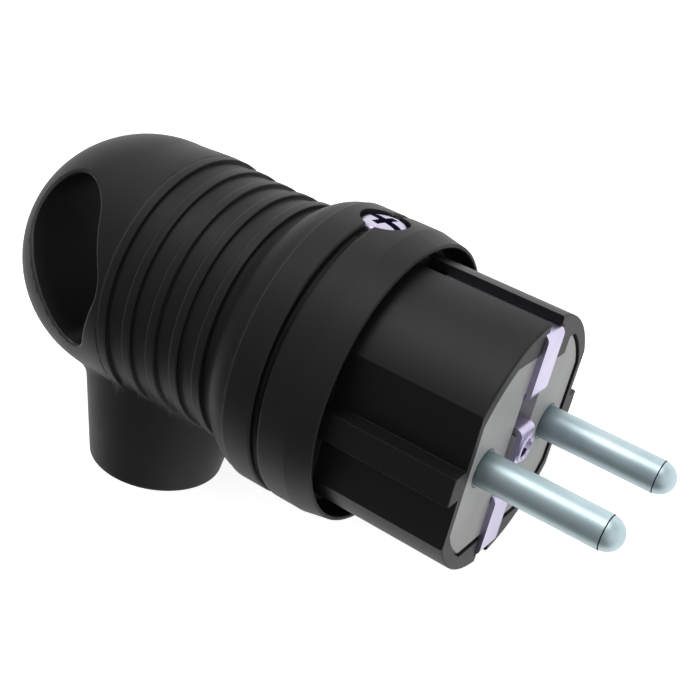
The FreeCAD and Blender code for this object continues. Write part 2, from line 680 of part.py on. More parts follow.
def outlet_cone():
    """Tapered outlet that reaches up into the head, with a rounded end rim."""
    height = OUTLET_ROOT_Z - OUTLET_Z
    foot = V(OUTLET_X, 0, OUTLET_Z)
    cone = Part.makeCone(OUTLET_END_R, OUTLET_END_R + OUTLET_TAPER * height, height, foot, AXIS_Z)
    rim = [e for e in cone.Edges if e.BoundBox.ZMax < OUTLET_Z + SLIP]
    return cone.makeFillet(OUTLET_ROUND, rim)


def on_outlet(edge):
    """True for an edge that lies on the cone of the outlet, above its end rim."""
    first, last = edge.ParameterRange
    for share in (0.2, 0.5, 0.8):
        point = edge.valueAt(first + (last - first) * share)
        cone_r = OUTLET_END_R + OUTLET_TAPER * (point.z - OUTLET_Z)
        off = abs(math.hypot(point.x - OUTLET_X, point.y) - cone_r)
        if off > SLIP / 10 or point.z < OUTLET_Z + OUTLET_END_R:
            return False
    return True


def cord_passage():
    """Bore up the outlet, and its bend into the hollow of the grip."""
    radius = OUTLET_BORE_R
    bore = rod_z(radius, OUTLET_Z, ELBOW_Z, OUTLET_X)
    mouth = Part.makeCone(radius + OUTLET_LEAD_IN, radius, OUTLET_LEAD_IN, V(OUTLET_X, 0, OUTLET_Z), AXIS_Z)
    bend = V(OUTLET_X, 0, ELBOW_Z)
    slope = V(ELBOW_END_X, 0, ELBOW_END_Z).sub(bend)
    slant = Part.makeCylinder(radius, slope.Length, bend, slope)
    return bore.fuse([mouth, Part.makeSphere(radius, bend), slant])


def rounded_outline(circles):
    """Closed outline round circles (x, z, radius), joined by their outer tangents."""
    turns = []
    for (ax, az, a_r), (bx, bz, b_r) in zip(circles, circles[1:] + circles[:1]):
        along = math.atan2(bz - az, bx - ax)
        turns.append(along - math.acos((a_r - b_r) / math.hypot(bx - ax, bz - az)))
    arcs = []
    for i, (x, z, radius) in enumerate(circles):
        half_sweep = (turns[i] - turns[i - 1]) % (2 * math.pi) / 2
        angles = [turns[i - 1] + half_sweep * step for step in range(3)]
        arcs.append([(x + radius * math.cos(a), z + radius * math.sin(a)) for a in angles])
    edges = []
    for points, following in zip(arcs, arcs[1:] + arcs[:1]):
        edges += [arc(*points), line(points[2], following[0])]
    return edges


def finger_hole():
    """Rounded three-cornered prism across the head."""
    face = Part.Face(Part.Wire(rounded_outline([
        (FINGER_REAR_X, FINGER_REAR_Z, FINGER_REAR_R),
        (FINGER_LOW_X, FINGER_LOW_Z, FINGER_LOW_R),
        (FINGER_FORE_X, FINGER_FORE_Z, FINGER_FORE_R)])))
    face.translate(V(0, -COLLAR_R, 0))
    return face.extrude(V(0, 2 * COLLAR_R, 0))


def finger_rims(body):
    """Edges round both mouths of the finger hole."""
    hole = finger_hole().BoundBox
    hole.enlarge(SLIP)
    rims = []
    for edge in body.Edges:
        size = edge.BoundBox
        one_side = size.YMin > SLIP or size.YMax < -SLIP
        if one_side and hole.isInside(size):
            rims.append(edge)
    return rims


def grip_cover():
    """One rubber moulding: head with finger ring, ringed waist, mouth and outlet."""
    body = grip_base().fuse(outlet_cone())
    body = body.makeFillet(OUTLET_BLEND, [e for e in body.Edges if on_outlet(e)])
    body = body.cut(finger_hole())
    body = body.makeFillet(FINGER_ROUND, finger_rims(body))
    body = body.fuse([finger_ring(i) for i in range(RING_COUNT)])
    hollow = rod_x(GRIP_CAVITY_R, GRIP_CAVITY_END, NECK_END_X)
    hollow = hollow.makeFillet(GRIP_CAVITY_ROUND, circle_edges(hollow, GRIP_CAVITY_END, GRIP_CAVITY_R))
    mouth = rod_x(NECK_R + SLIP, NECK_END_X, PARTING_X)
    body = body.cut([hollow, mouth, cord_passage(), cover_screw_recess()])
    return body.fuse(snap_ring(0)).removeSplitter()


# Pose: lying on the collar and on the rim of the outlet

def lay_down_angle():
    """Roll about the pins at which the collar and the outlet's rim touch one plane."""
    reach = -OUTLET_Z - OUTLET_ROUND
    spread = OUTLET_END_R + OUTLET_ROUND * (OUTLET_TAPER - math.hypot(1, OUTLET_TAPER))
    return math.asin((COLLAR_R - OUTLET_ROUND) / math.hypot(reach, spread)) - math.atan2(spread, reach)


def build():
    left, right = 1, -1
    nodes = {
        "grip_cover": grip_cover(),
        "sealing_collar": sealing_collar(),
        "front_shell": front_shell(),
        "face_insert": face_insert(),
        "pin_left": contact_pin(left),
        "pin_right": contact_pin(right),
        "pin_screw_left": pin_screw(left),
        "pin_screw_right": pin_screw(right),
        "earth_clip": earth_clip(),
        "earth_rivet": earth_rivet(),
        "earth_terminal": earth_terminal(),
        "earth_screw": earth_screw(),
        "terminal_carrier": terminal_carrier(),
        "carrier_screw_upper": carrier_screw(1),
        "carrier_screw_lower": carrier_screw(-1),
        "cord_clamp_bar": cord_clamp_bar(),
        "cord_clamp_screw_left": cord_clamp_screw(left),
        "cord_clamp_screw_right": cord_clamp_screw(right),
        "cover_screw": cover_screw(),
        "cover_nut": cover_nut(),
    }
    roll = math.degrees(lay_down_angle()) - 90
    for shape in nodes.values():
        shape.rotate(CENTRE, AXIS_X, roll)
    extent = Part.makeCompound(list(nodes.values())).optimalBoundingBox(False)
    shift = V(-extent.Center.x, -extent.Center.y, -extent.ZMin)
    for shape in nodes.values():
        shape.translate(shift)
    return nodes


os.makedirs("parts", exist_ok=True)
for name, shape in build().items():
    shape.exportStep("parts/" + name + ".step")
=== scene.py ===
import bmesh
import bpy
import math
from mathutils import Matrix, Vector
from types import SimpleNamespace


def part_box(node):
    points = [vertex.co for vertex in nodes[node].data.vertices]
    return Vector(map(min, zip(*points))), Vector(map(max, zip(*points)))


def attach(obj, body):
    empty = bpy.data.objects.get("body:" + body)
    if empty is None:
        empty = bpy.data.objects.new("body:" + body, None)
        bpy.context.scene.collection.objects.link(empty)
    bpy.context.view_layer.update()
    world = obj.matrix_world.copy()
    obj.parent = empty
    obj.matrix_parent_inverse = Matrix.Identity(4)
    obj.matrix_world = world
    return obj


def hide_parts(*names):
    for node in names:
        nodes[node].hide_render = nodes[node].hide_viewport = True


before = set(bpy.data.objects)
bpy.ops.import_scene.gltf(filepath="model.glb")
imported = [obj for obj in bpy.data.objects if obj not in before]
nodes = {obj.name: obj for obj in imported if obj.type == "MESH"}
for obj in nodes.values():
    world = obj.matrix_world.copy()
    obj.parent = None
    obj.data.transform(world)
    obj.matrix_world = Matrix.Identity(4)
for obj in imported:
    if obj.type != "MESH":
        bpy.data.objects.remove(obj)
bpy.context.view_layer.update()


# Grip cover and sealing collar.
# Both are compression-moulded from soft black rubber. The cover snaps over the neck of the
# plug body, is held down by one screw, and traps the collar against the body.

# Pieces are drawn in the plug's own frame in millimetres, with the pins along +X, the
# outlet down along -Z and the engagement face at x = 0, and are then laid down.
MM = 0.001
PIN_REACH = 19.0
ROLL = math.radians(21.7035)
collar_low, collar_high = (Vector(v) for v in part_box("sealing_collar"))
pin_tip = Vector(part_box("pin_left")[1])
axis_at = Vector((pin_tip.x - PIN_REACH * MM, (collar_low.y + collar_high.y) / 2,
                  (collar_low.z + collar_high.z) / 2))
LAID = (Matrix.Translation(axis_at) @ Matrix.Rotation(ROLL - math.pi / 2, 4, "X")
        @ Matrix.Scale(MM, 4))


def linear(hex_colour):
    """A hex colour as it is seen, turned into the linear values that a shader takes."""
    channels = [int(hex_colour[i:i + 2], 16) / 255 for i in (1, 3, 5)]
    return [c / 12.92 if c <= 0.04045 else ((c + 0.055) / 1.055) ** 2.4 for c in channels] + [1.0]


def add(tree, kind, inputs=None, **settings):
    """A new node with its settings, and with its inputs set or linked."""
    node = tree.nodes.new(kind)
    for name, value in settings.items():
        setattr(node, name, value)
    for key, value in (inputs or {}).items():
        if isinstance(value, bpy.types.Node):
            value = value.outputs[0]
        if isinstance(value, bpy.types.NodeSocket):
            tree.links.new(value, node.inputs[key])
        else:
            node.inputs[key].default_value = value
    return node


def mottled(name, dark, light, patch_mm, detail=3.0, dark_to=0.0, light_from=1.0):
    """A new material in two close shades that pass into each other in soft patches."""
    material = bpy.data.materials.new(name)
    material.use_nodes = True
    tree = material.node_tree
    place = add(tree, "ShaderNodeTexCoord").outputs["Object"]
    patch = add(tree, "ShaderNodeTexNoise", {"Vector": place, "Scale": 1 / (patch_mm * MM),
                                             "Detail": detail})
    shade = add(tree, "ShaderNodeValToRGB", {"Fac": patch})
    stops = zip(shade.color_ramp.elements, (dark_to, light_from), (dark, light))
    for stop, position, colour in stops:
        stop.position = position
        stop.color = linear(colour)
    shader = tree.nodes["Principled BSDF"]
    tree.links.new(shade.outputs["Color"], shader.inputs["Base Color"])
    return SimpleNamespace(material=material, tree=tree, place=place, patch=patch, shade=shade,
                           shader=shader)


NOISE_LOW = 0.3
NOISE_HIGH = 0.7


def moulded(name, dark, light, patch_mm, grain_mm, grain_depth_mm, rough, rough_spread, edge_mm):
    """Moulded skin: two close shades in soft patches, a fine grain and eased edges."""
    look = mottled(name, dark, light, patch_mm, dark_to=0.32, light_from=NOISE_HIGH)
    grain = add(look.tree, "ShaderNodeTexNoise", {
        "Vector": look.place, "Scale": 1 / (grain_mm * MM), "Detail": 3.0})
    gloss = add(look.tree, "ShaderNodeMapRange", {
        "Value": look.patch, "From Min": NOISE_LOW, "From Max": NOISE_HIGH,
        "To Min": rough + rough_spread, "To Max": rough - rough_spread})
    look.tree.links.new(gloss.outputs["Result"], look.shader.inputs["Roughness"])
    edge = add(look.tree, "ShaderNodeBevel", {"Radius": edge_mm * MM}, samples=4)
    bump = add(look.tree, "ShaderNodeBump", {
        "Height": grain, "Strength": 0.3, "Distance": grain_depth_mm * MM, "Normal": edge})
    look.tree.links.new(bump.outputs["Normal"], look.shader.inputs["Normal"])
    return look


def in_plug_frame(look):
    """Distance along the pin axis and away from it, both in millimetres."""
    offset = add(look.tree, "ShaderNodeVectorMath", {0: look.place, 1: axis_at},
                 operation="SUBTRACT")
    spot = add(look.tree, "ShaderNodeVectorMath", {0: offset, "Scale": 1 / MM}, operation="SCALE")
    along = add(look.tree, "ShaderNodeSeparateXYZ", {"Vector": spot})
    across = add(look.tree, "ShaderNodeVectorMath", {0: spot, 1: (0, 1, 1)}, operation="MULTIPLY")
    away = add(look.tree, "ShaderNodeVectorMath", {0: across}, operation="LENGTH")
    return along.outputs["X"], away.outputs["Value"]


def where(look, *bands):
    """1 where every value lies within a half width of its centre, and 0 elsewhere."""
    mask = 1.0
    for value, centre, half in bands:
        inside = add(look.tree, "ShaderNodeMath", {0: value, 1: centre, 2: half},
                     operation="COMPARE")
        mask = add(look.tree, "ShaderNodeMath", {0: mask, 1: inside}, operation="MULTIPLY")
    return mask


def dressed(look, *names):
    for name in names:
        nodes[name].data.materials.clear()
        nodes[name].data.materials.append(look.material)


# Rubber from a spark-eroded mould has a fine dull grain, and handling leaves it a little
# smoother in large soft patches.
rubber = moulded("moulded_black_rubber", "#161617", "#1a1a1b", patch_mm=16, grain_mm=0.3,
                 grain_depth_mm=0.012, rough=0.52, rough_spread=0.04, edge_mm=0.2)
rubber.shader.inputs["Specular IOR Level"].default_value = 0.2
x, away = in_plug_frame(rubber)

# The crests of the rings and the edge of the flare carry a painted highlight, a little paler.
FIRST_CREST_X = -56.6
RING_PITCH = 4.15
RING_WIDTH = 1.5
RINGS_MIDDLE_X = -48.3
RINGS_HALF = 8.6
CREST_R = 18.6
CREST_R_HALF = 0.7
FLARE_EDGE_X = -32.05
FLARE_R = 21.5
FLARE_R_HALF = 1.0
HIGHLIGHT_HALF = 0.15
HIGHLIGHT_SHARE = 0.28
since_first = add(rubber.tree, "ShaderNodeMath", {0: x, 1: FIRST_CREST_X}, operation="SUBTRACT")
in_pitch = add(rubber.tree, "ShaderNodeMath", {0: since_first, 1: RING_PITCH},
               operation="FLOORED_MODULO")
crest_highlight = where(rubber, (in_pitch, HIGHLIGHT_HALF, HIGHLIGHT_HALF), (x, RINGS_MIDDLE_X, RINGS_HALF),
              (away, CREST_R, CREST_R_HALF))
flare_highlight = where(rubber, (x, FLARE_EDGE_X, HIGHLIGHT_HALF), (away, FLARE_R, FLARE_R_HALF))
painted_highlight = add(rubber.tree, "ShaderNodeMath", {0: crest_highlight, 1: flare_highlight}, operation="MAXIMUM")
painted_highlight = add(rubber.tree, "ShaderNodeMath", {0: painted_highlight, 1: HIGHLIGHT_SHARE}, operation="MULTIPLY")
# Mixes the painted highlight into the rubber's colour.
highlighted = add(rubber.tree, "ShaderNodeMixRGB", {"Fac": painted_highlight, "Color1": rubber.shade,
                                             "Color2": linear("#4a4a4c")})

# The corners behind the rings, the parting groove, the screw's pocket and the finger hole
# are painted darker, as painted shade where the light does not reach.
CORNER_HALF = 0.13
POCKET_X = -26.8
POCKET_HALF = 3.6
POCKET_RIM_R = 21.1
HEAD_CENTRE_X = -64.1
HOLE_DARK_R = 16.5
HOLE_RIM_R = 18.7
SHADE_SHARE = 0.85
corner = where(rubber, (in_pitch, RING_WIDTH + CORNER_HALF, CORNER_HALF),
               (x, RINGS_MIDDLE_X + RING_WIDTH, RINGS_HALF), (away, CREST_R, CREST_R_HALF))
pocket = where(rubber, (x, POCKET_X, POCKET_HALF), (away, 0.0, POCKET_RIM_R))
behind = add(rubber.tree, "ShaderNodeMath", {0: x, 1: HEAD_CENTRE_X}, operation="SUBTRACT")
from_head = add(rubber.tree, "ShaderNodeCombineXYZ", {"X": behind, "Y": away})
reach = add(rubber.tree, "ShaderNodeVectorMath", {0: from_head}, operation="LENGTH")
in_hole = add(rubber.tree, "ShaderNodeMapRange", {
    "Value": reach.outputs["Value"], "From Min": HOLE_DARK_R, "From Max": HOLE_RIM_R,
    "To Min": 1.0, "To Max": 0.0})
painted_shade = add(rubber.tree, "ShaderNodeMath", {0: corner, 1: pocket}, operation="MAXIMUM")
painted_shade = add(rubber.tree, "ShaderNodeMath", {0: painted_shade, 1: in_hole}, operation="MAXIMUM")
painted_shade = add(rubber.tree, "ShaderNodeMath", {0: painted_shade, 1: SHADE_SHARE}, operation="MULTIPLY")
# Mixes the painted shade into the rubber's colour.
skin = add(rubber.tree, "ShaderNodeMixRGB", {"Fac": painted_shade, "Color1": highlighted,
                                             "Color2": linear("#030303")})
rubber.tree.links.new(skin.outputs["Color"], rubber.shader.inputs["Base Color"])
dressed(rubber, "sealing_collar")


def mesh_of(bm, name):
    bmesh.ops.recalc_face_normals(bm, faces=bm.faces)
    mesh = bpy.data.meshes.new(name)
    bm.to_mesh(mesh)
    bm.free()
    return mesh


def worked(name, mesh, steps):
    """A mesh after each step, which adds (UNION) or cuts away (DIFFERENCE) another mesh."""
    body = bpy.data.objects.new(name, mesh)
    helpers = [body]
    for operation, other in steps:
        helper = bpy.data.objects.new("helper", other)
        helpers.append(helper)
        step = body.modifiers.new("step", "BOOLEAN")
        step.operation = operation
        step.solver = "EXACT"
        step.object = helper
    for helper in helpers:
        bpy.context.scene.collection.objects.link(helper)
    made = bpy.data.meshes.new_from_object(
        body.evaluated_get(bpy.context.evaluated_depsgraph_get()))
    for helper in helpers:
        data = helper.data
        bpy.data.objects.remove(helper)
        bpy.data.meshes.remove(data)
    made.name = name
    return made


def finished(name, mesh, looks, stands_for, sharp_degrees):
    """Lays a piece down in the world, shades it, and hides the parts it stands for."""
    mesh.transform(LAID)
    mesh.shade_smooth()
    mesh.set_sharp_from_angle(angle=math.radians(sharp_degrees))
    for look in looks:
        mesh.materials.append(look.material)
    piece = bpy.data.objects.new(name, mesh)
    bpy.context.scene.collection.objects.link(piece)
    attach(piece, "root")
    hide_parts(*stands_for)
    return piece


# The head swells evenly up to the first ring, from where the dome ends and as far round
# as the outlet. The finger hole then runs clean through dome and swell.
DOME_R = 18.85
DOME_END_X = HEAD_CENTRE_X
DOME_END_R = 18.83
FIRST_RING_TOP = 19.17
SWELL_ROOT_R = 18.0
SWELL_STEPS = 24
SWELL_FACETS = 248
SWELL_START = math.radians(25)


def swell_r(x):
    """Radius of the head between the end of its dome and the crest of the first ring."""
    t = (x - DOME_END_X) / (FIRST_CREST_X - DOME_END_X)
    return DOME_END_R + (FIRST_RING_TOP - DOME_END_R) * t * t * (3 - 2 * t)


bm = bmesh.new()
profile = [(DOME_END_X, SWELL_ROOT_R)]
for k in range(SWELL_STEPS + 1):
    along = DOME_END_X + (FIRST_CREST_X - DOME_END_X) * k / SWELL_STEPS
    profile.append((along, swell_r(along)))
profile.append((FIRST_CREST_X, SWELL_ROOT_R))
section = bm.faces.new([bm.verts.new((x, 0, -r)) for x, r in profile])
bmesh.ops.rotate(bm, cent=(0, 0, 0), matrix=Matrix.Rotation(SWELL_START, 3, "X"), verts=bm.verts)
bmesh.ops.spin(bm, geom=bm.verts[:] + bm.edges[:] + [section], cent=(0, 0, 0), axis=(1, 0, 0),
               angle=2 * (math.pi - SWELL_START), steps=SWELL_FACETS)
swell = mesh_of(bm, "swell")

# The finger hole is drawn round three circles, as (x, z, radius). Its edge is a list of
# spots in the plug's middle plane, each with the direction that faces out of the hole.
FINGER_CIRCLES = ((-67.65, 7.2, 6.6), (-62.7, -6.6, 2.4), (-64.0, 1.8, 6.2))
EDGE_TURNS = 180
EDGE_STEP = 0.6
tangents = []
for k in range(EDGE_TURNS):
    turn = 2 * math.pi * k / EDGE_TURNS
    facing = Vector((math.cos(turn), 0, math.sin(turn)))
    x, z, radius = max(FINGER_CIRCLES,
                       key=lambda circle: facing.dot((circle[0], 0, circle[1])) + circle[2])
    tangents.append((Vector((x, 0, z)) + radius * facing, facing))
hole_edge = []
for (here, facing), (there, _) in zip(tangents, tangents[1:] + tangents[:1]):
    count = max(1, round((there - here).length / EDGE_STEP))
    hole_edge += [(here.lerp(there, j / count), facing) for j in range(count)]

# Its wall is cut just free of the solid's, and both its mouths are rounded. The rounding is
# a list of steps, as (growth of the hole, depth below the skin), and ends above the skin.
WALL_FREE = 0.1
RIM_ROUND = 0.55
RIM_END = math.radians(65)
RIM_STEPS = 6
RIM_CLEAR = 0.1
HOLE_REACH = 30.0
rounding = []
for k in range(RIM_STEPS + 1):
    swing = RIM_END * k / RIM_STEPS
    rounding.append((WALL_FREE + RIM_ROUND * (1 - math.cos(swing)),
                     RIM_ROUND * (1 - math.sin(swing))))
rim_width = rounding[-1][0] + rounding[-1][1] * math.tan(RIM_END)
rounding.append((rim_width + RIM_CLEAR * math.tan(RIM_END), -RIM_CLEAR))


def skin_at(x, z):
    """Distance of the head's skin from the plug's middle plane, beside the finger hole."""
    if x < DOME_END_X:
        return math.sqrt(DOME_R ** 2 - (x - DOME_END_X) ** 2 - z ** 2)
    return math.sqrt(swell_r(x) ** 2 - z ** 2)


def hole_loop(bm, growth, side, depth=None):
    """The hole's edge on one side, at a depth below the skin or else far outside it."""
    corners = []
    for here, facing in hole_edge:
        spot = here + growth * facing
        spot.y = side * (HOLE_REACH if depth is None else skin_at(spot.x, spot.z) - depth)
        corners.append(bm.verts.new(spot))
    return [bm.edges.new((corners[j - 1], corners[j])) for j in range(len(corners))]


bm = bmesh.new()
widest = rounding[-1][0]
loops = [hole_loop(bm, widest, -1)]
loops += [hole_loop(bm, growth, -1, depth) for growth, depth in rounding[::-1]]
loops += [hole_loop(bm, growth, 1, depth) for growth, depth in rounding]
loops.append(hole_loop(bm, widest, 1))
for near, far in zip(loops[:-1], loops[1:]):
    bmesh.ops.bridge_loops(bm, edges=near + far)
for end in (loops[0], loops[-1]):
    bmesh.ops.edgeloop_fill(bm, edges=end)
finger_hole = mesh_of(bm, "finger_hole")

# The cover is the solid's own form with the swell laid on and the hole cut through. Its rounded
# rims carry a painted highlight in a paler copy of the rubber, which is a little smoother.
MERGE_DISTANCE = 0.0005
RIM_FROM = 0.11
rim_highlight = moulded("black_rubber_painted_highlight", "#242426", "#29292b", patch_mm=16, grain_mm=0.3,
                     grain_depth_mm=0.012, rough=0.48, rough_spread=0.04, edge_mm=0.2)
bm = bmesh.new()
bm.from_mesh(nodes["grip_cover"].data)
bmesh.ops.transform(bm, matrix=LAID.inverted(), verts=bm.verts)
bmesh.ops.remove_doubles(bm, verts=bm.verts, dist=MERGE_DISTANCE)
cover = worked("grip_cover", mesh_of(bm, "grip_cover"),
               [("UNION", swell), ("DIFFERENCE", finger_hole)])
# Faces on the rounded rims take the paler rubber of the painted highlight.
for face in cover.polygons:
    spot = face.center.copy()
    if abs(spot.y) > DOME_R / 2 and spot.x < FIRST_CREST_X:
        spot.y = 0
        past_wall = max(facing.dot(spot - here) for here, facing in tangents)
        face.material_index = 1 if RIM_FROM < past_wall < rim_width else 0
piece = finished("rubber_grip_cover", cover, [rubber, rim_highlight],
                 ["grip_cover"], sharp_degrees=22)
even = piece.modifiers.new("even_shading", "WEIGHTED_NORMAL")
even.weight = 90
even.keep_sharp = True


# Plug body, terminal carrier.
# Both are injection-moulded from black glass-filled polyamide. The body takes the insert, and
# the carrier behind its bulkhead holds the terminals and the saddle of the cord clamp.

# Polyamide is harder than the rubber, with a deeper black and a smooth satin skin.
polyamide = moulded("moulded_black_polyamide", "#0b0b0c", "#0e0e0f", patch_mm=20, grain_mm=0.25,
                    grain_depth_mm=0.004, rough=0.52, rough_spread=0.02, edge_mm=0.15)
polyamide.shader.inputs["Specular IOR Level"].default_value = 0.26
dressed(polyamide, "front_shell", "terminal_carrier")


# Insert in the face, and the bar of the cord clamp.
# Both are injection-moulded from grey polyamide, with the same smooth satin skin. The insert
# is pressed into the body's face, is held by a key, and takes the pins and the strip.
grey = moulded("moulded_grey_polyamide", "#909090", "#9a9a99", patch_mm=12, grain_mm=0.25,
               grain_depth_mm=0.005, rough=0.5, rough_spread=0.04, edge_mm=0.1)
dressed(grey, "face_insert", "cord_clamp_bar")


# Contact pins.
# Each is turned from brass bar and nickel plated, is held in the insert by its root, and
# meets its rounded tip in a small turned step.
def plated(name, dark, light, rough, mark_mm, mark_scale, mark_depth_mm):
    """Worked metal: two close shades, and fine tool marks stretched across the work."""
    look = mottled(name, dark, light, patch_mm=6, detail=2.0, dark_to=NOISE_LOW,
                   light_from=NOISE_HIGH)
    stretched = add(look.tree, "ShaderNodeMapping", {"Vector": look.place, "Scale": mark_scale})
    marks = add(look.tree, "ShaderNodeTexNoise", {
        "Vector": stretched, "Scale": 1 / (mark_mm * MM), "Detail": 3.0})
    gloss = add(look.tree, "ShaderNodeMapRange", {
        "Value": marks, "From Min": NOISE_LOW, "From Max": NOISE_HIGH,
        "To Min": rough - 0.015, "To Max": rough + 0.02})
    look.tree.links.new(gloss.outputs["Result"], look.shader.inputs["Roughness"])
    bump = add(look.tree, "ShaderNodeBump", {
        "Height": marks, "Strength": 0.25, "Distance": mark_depth_mm * MM})
    look.tree.links.new(bump.outputs["Normal"], look.shader.inputs["Normal"])
    look.shader.inputs["Metallic"].default_value = 1.0
    return look


# Nickel is a bluish white metal. The rings from the turning tool are too close to show and
# are drawn 0.2 mm apart. Near the root the nickel is painted darker as the insert's painted
# shade and painted reflection, and the step is painted dark as painted shadow.
STEP_X = 16.7
STEP_HALF = 0.07
ROOT_X = -0.3
ROOT_SHADE_LENGTH = 2.2
ROOT_SHADE_SHARE = 0.7
nickel = plated("nickel_plated_brass", "#a8babf", "#b6c6cb", rough=0.48, mark_mm=0.2,
                mark_scale=(1.0, 0.05, 0.05), mark_depth_mm=0.0002)
x = in_plug_frame(nickel)[0]
# Painted shade and reflection near the root.
root_shade = add(nickel.tree, "ShaderNodeMapRange", {
    "Value": x, "From Min": ROOT_X, "From Max": ROOT_X + ROOT_SHADE_LENGTH,
    "To Min": ROOT_SHADE_SHARE, "To Max": 0.0})
root_shaded = add(nickel.tree, "ShaderNodeMixRGB", {"Fac": root_shade, "Color1": nickel.shade,
                                                  "Color2": linear("#4f5d63")})
# Painted shadow in the turned step.
step_shaded = add(nickel.tree, "ShaderNodeMixRGB", {"Fac": where(nickel, (x, STEP_X, STEP_HALF)),
                                               "Color1": root_shaded, "Color2": linear("#15191c")})
nickel.tree.links.new(step_shaded.outputs["Color"], nickel.shader.inputs["Base Color"])
dressed(nickel, "pin_left", "pin_right")


# Earth strip and its eyelet.
# One strip of tinned bronze, blanked and folded over the face and along both channels, and a
# tinned brass eyelet that is rolled over the strip's saddle and reaches the earth terminal.

# Tin is pale with a lilac cast, and rolling leaves fine lines along the strip. Faces turned to
# the strip's sides are painted a little darker as shade, and the eyelet's bore is painted dark
# as shade.
EYELET_BORE_R = 1.45
EDGE_FACING = 0.8
tinned = plated("tinned_bronze_strip", "#b9b1ca", "#c6bfd5", rough=0.4, mark_mm=0.15,
                mark_scale=(0.1, 1.0, 0.1), mark_depth_mm=0.001)
away = in_plug_frame(tinned)[1]
# Painted shade in the eyelet's bore.
bore_shaded = add(tinned.tree, "ShaderNodeMixRGB", {"Fac": where(tinned, (away, 0.0, EYELET_BORE_R)),
                                              "Color1": tinned.shade,
                                              "Color2": linear("#2a2240")})
across_strip = LAID.to_3x3().normalized() @ Vector((0, 1, 0))
surface = add(tinned.tree, "ShaderNodeTexCoord").outputs["Normal"]
sideways = add(tinned.tree, "ShaderNodeVectorMath", {0: surface, 1: across_strip},
               operation="DOT_PRODUCT").outputs["Value"]
# Painted shade on the faces turned to the strip's sides.
side_shaded = add(tinned.tree, "ShaderNodeMixRGB", {"Fac": where(tinned, (sideways, 0.0, EDGE_FACING)),
                                                "Color1": linear("#b4aac8"), "Color2": bore_shaded})
tinned.tree.links.new(side_shaded.outputs["Color"], tinned.shader.inputs["Base Color"])
dressed(tinned, "earth_clip", "earth_rivet")


# Cover screw.
# A machine screw with a domed head and a cross recess, cold-headed from steel wire. It holds
# cover and collar down on the body, with its head sunk half in each.

# Its zinc plating has a bluish passivation, and the cross recess is painted dark as its shade.
zinc = plated("passivated_zinc_plating", "#aea8bd", "#bdb7ca", rough=0.4, mark_mm=0.3,
              mark_scale=(1.0, 1.0, 1.0), mark_depth_mm=0.002)
# The dark material of the painted shade in the recess.
recess_shade = mottled("painted_shade_screw_recess", "#15112a", "#201a3c", patch_mm=0.8)
recess_shade.shader.inputs["Roughness"].default_value = 0.5
recess_shade.shader.inputs["Specular IOR Level"].default_value = 0.1

SCREW_X = -26.8
SHANK_R = 2.0
SHANK_LENGTH = 7.0
SHANK_CHAMFER = 0.3
HEAD_R = 3.3
HEAD_CHAMFER = 0.06
HEAD_EDGE = 1.4
HEAD_TOP = 2.2
HEAD_FULLNESS = 0.55
DOME_STEPS = 8
SCREW_FACETS = 64
POLE_MERGE = 0.0001
SEAT_Z = 18.9
profile = [(0, -SHANK_LENGTH), (SHANK_R - SHANK_CHAMFER, -SHANK_LENGTH),
           (SHANK_R, -SHANK_LENGTH + SHANK_CHAMFER), (SHANK_R, 0), (HEAD_R - HEAD_CHAMFER, 0),
           (HEAD_R, HEAD_CHAMFER), (HEAD_R, HEAD_EDGE)]
for k in range(1, DOME_STEPS):
    swing = math.pi / 2 * k / DOME_STEPS
    profile.append((HEAD_R * math.cos(swing) ** HEAD_FULLNESS,
                    HEAD_EDGE + (HEAD_TOP - HEAD_EDGE) * math.sin(swing)))
profile.append((0, HEAD_TOP))
bm = bmesh.new()
corners = [bm.verts.new((SCREW_X + r, 0, SEAT_Z + z)) for r, z in profile]
edges = [bm.edges.new(pair) for pair in zip(corners[:-1], corners[1:])]
bmesh.ops.spin(bm, geom=corners + edges, cent=(SCREW_X, 0, 0), axis=(0, 0, 1),
               angle=2 * math.pi, steps=SCREW_FACETS, use_merge=True)
bmesh.ops.remove_doubles(bm, verts=bm.verts, dist=POLE_MERGE)
blank = mesh_of(bm, "cover_screw")

# One arm of the cross runs right across the head, and both narrow towards their floor.
SLOT_LENGTH = 8.0
CROSS_LENGTH = 4.4
CROSS_WIDTH = 1.35
CROSS_DEPTH = 1.0
CROSS_TAPER = 0.7
CROSS_TURN = math.radians(-16)
ARM_ABOVE = 0.5
floor_z = SEAT_Z + HEAD_TOP - CROSS_DEPTH
arms = []
for length, turned_by in ((SLOT_LENGTH, CROSS_TURN), (CROSS_LENGTH, CROSS_TURN + math.pi / 2)):
    bm = bmesh.new()
    arm = bmesh.ops.create_cube(bm, size=1)["verts"]
    bmesh.ops.scale(bm, vec=(length, CROSS_WIDTH, CROSS_DEPTH + ARM_ABOVE), verts=arm)
    bmesh.ops.scale(bm, vec=(CROSS_TAPER, CROSS_TAPER, 1), verts=[v for v in arm if v.co.z < 0])
    bmesh.ops.rotate(bm, cent=(0, 0, 0), matrix=Matrix.Rotation(turned_by, 3, "Z"), verts=arm)
    bmesh.ops.translate(bm, vec=(SCREW_X, 0, floor_z + (CROSS_DEPTH + ARM_ABOVE) / 2), verts=arm)
    arms.append(("DIFFERENCE", mesh_of(bm, "cross_arm")))
screw = worked("cover_screw", blank, arms)

